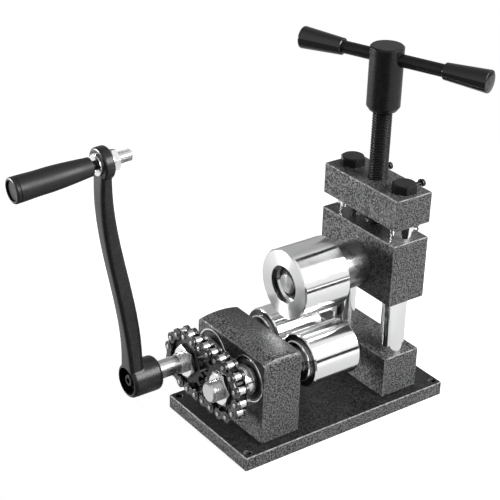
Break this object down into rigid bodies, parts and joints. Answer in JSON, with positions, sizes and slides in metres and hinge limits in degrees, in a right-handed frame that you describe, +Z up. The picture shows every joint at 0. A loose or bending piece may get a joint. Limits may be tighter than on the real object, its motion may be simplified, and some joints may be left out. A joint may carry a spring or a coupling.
{
  "type": "ring bending machine",
  "caption": "Bench-top ring bender: hand crank and chain turn the lower rollers while a tee-handled screw presses an upper roller down between them.",
  "frame": {"origin": "centre of the base plate's underside", "axes": "+X along the base plate from the crank end to the press tower, +Y across the base plate toward the crank's side, +Z up"},
  "size_m": [0.3127, 0.141, 0.2675],
  "materials": {
    "hammertone_paint": "dark grey hammered paint, semi-gloss",
    "roller_chrome": "polished",
    "bright_zinc": "bright plated",
    "ground_steel": "ground and lightly oiled",
    "black_oxide": "black oxide, satin",
    "chain_steel": "blued and oiled",
    "crank_black": "satin black",
    "grip_plastic": "matt black",
    "tee_plastic": "glossy black",
    "seal_rubber": "matt black",
    "pad_brass": "plain"
  },
  "bodies": {
    "frame": {"base_plate": "hammertone_paint", "plate_screws": "black_oxide", "bearing_block": "hammertone_paint", "bearing_outer_rings": "ground_steel", "bearing_seals": "seal_rubber", "foot_block": "hammertone_paint", "guide_post_rear": "roller_chrome", "guide_post_front": "roller_chrome", "top_block": "hammertone_paint", "post_bolts": "black_oxide", "upper_spring_pins": "black_oxide", "return_spring_rear": "chain_steel", "return_spring_front": "chain_steel", "chain_outer_plates": "chain_steel", "chain_inner_plates": "chain_steel", "chain_rollers": "ground_steel", "chain_pins": "ground_steel"},
    "crank": {"drive_shaft": "ground_steel", "drive_roller": "roller_chrome", "drive_inner_rings": "ground_steel", "drive_sleeve": "ground_steel", "drive_sprocket": "black_oxide", "drive_nut": "bright_zinc", "drive_key": "ground_steel", "crank_arm": "crank_black", "crank_key": "ground_steel", "crank_washer": "black_oxide", "crank_screw": "black_oxide", "grip_spindle": "bright_zinc", "spindle_collar": "black_oxide", "spindle_washers": "bright_zinc", "spindle_nut": "bright_zinc"},
    "grip": {"crank_grip": "grip_plastic", "grip_cap": "grip_plastic"},
    "driven": {"driven_shaft": "ground_steel", "driven_roller": "roller_chrome", "driven_inner_rings": "ground_steel", "driven_sleeve": "ground_steel", "driven_sprocket": "black_oxide", "driven_nut": "bright_zinc", "driven_key": "ground_steel"},
    "slide": {"slide_block": "hammertone_paint", "lower_spring_pins": "black_oxide", "upper_axle": "ground_steel", "axle_washer": "bright_zinc", "axle_nut": "bright_zinc", "axle_circlip": "black_oxide", "axle_inner_rings": "ground_steel", "thrust_pad": "pad_brass"},
    "bend_roller": {"upper_roller": "roller_chrome", "roller_outer_rings": "roller_chrome", "roller_seals": "seal_rubber"},
    "screw": {"lead_screw": "black_oxide", "tee_hub": "black_oxide"},
    "tee": {"tee_bar": "black_oxide", "tee_grip_rear": "tee_plastic", "tee_grip_front": "tee_plastic"}
  },
  "joints": [
    {"name": "crank_spin", "type": "hinge", "parent": "frame", "child": "crank", "pos_m": [0, 0.02143, 0.055], "axis": [1, 0, 0], "continuous": true, "deforming": ["chain_outer_plates", "chain_inner_plates", "chain_rollers", "chain_pins"]},
    {"name": "driven_spin", "type": "hinge", "parent": "frame", "child": "driven", "pos_m": [0, -0.02143, 0.055], "axis": [1, 0, 0], "continuous": true},
    {"name": "grip_spin", "type": "hinge", "parent": "crank", "child": "grip", "pos_m": [-0.1582, 0.02143, 0.222], "axis": [0.9983, 0, 0.0576], "continuous": true},
    {"name": "press_slide", "type": "slide", "parent": "frame", "child": "slide", "axis": [0, 0, 1], "range_m": [-0.01, 0.011], "deforming": ["return_spring_rear", "return_spring_front"]},
    {"name": "bend_roller_spin", "type": "hinge", "parent": "slide", "child": "bend_roller", "pos_m": [0, 0, 0.106], "axis": [1, 0, 0], "continuous": true},
    {"name": "screw_turn", "type": "hinge", "parent": "slide", "child": "screw", "pos_m": [0.0545, 0, 0.2], "axis": [0, 0, 1], "range_deg": [-1795, 1975]},
    {"name": "tee_slide", "type": "slide", "parent": "screw", "child": "tee", "axis": [-0.3486, 0.9373, 0], "range_m": [-0.0217, 0.0321]}
  ],
  "couplings": [
    {"joint": "driven_spin", "follows": "crank_spin", "ratio": 1},
    {"joint": "press_slide", "follows": "screw_turn", "m_per_rad": 0.00031831}
  ]
}
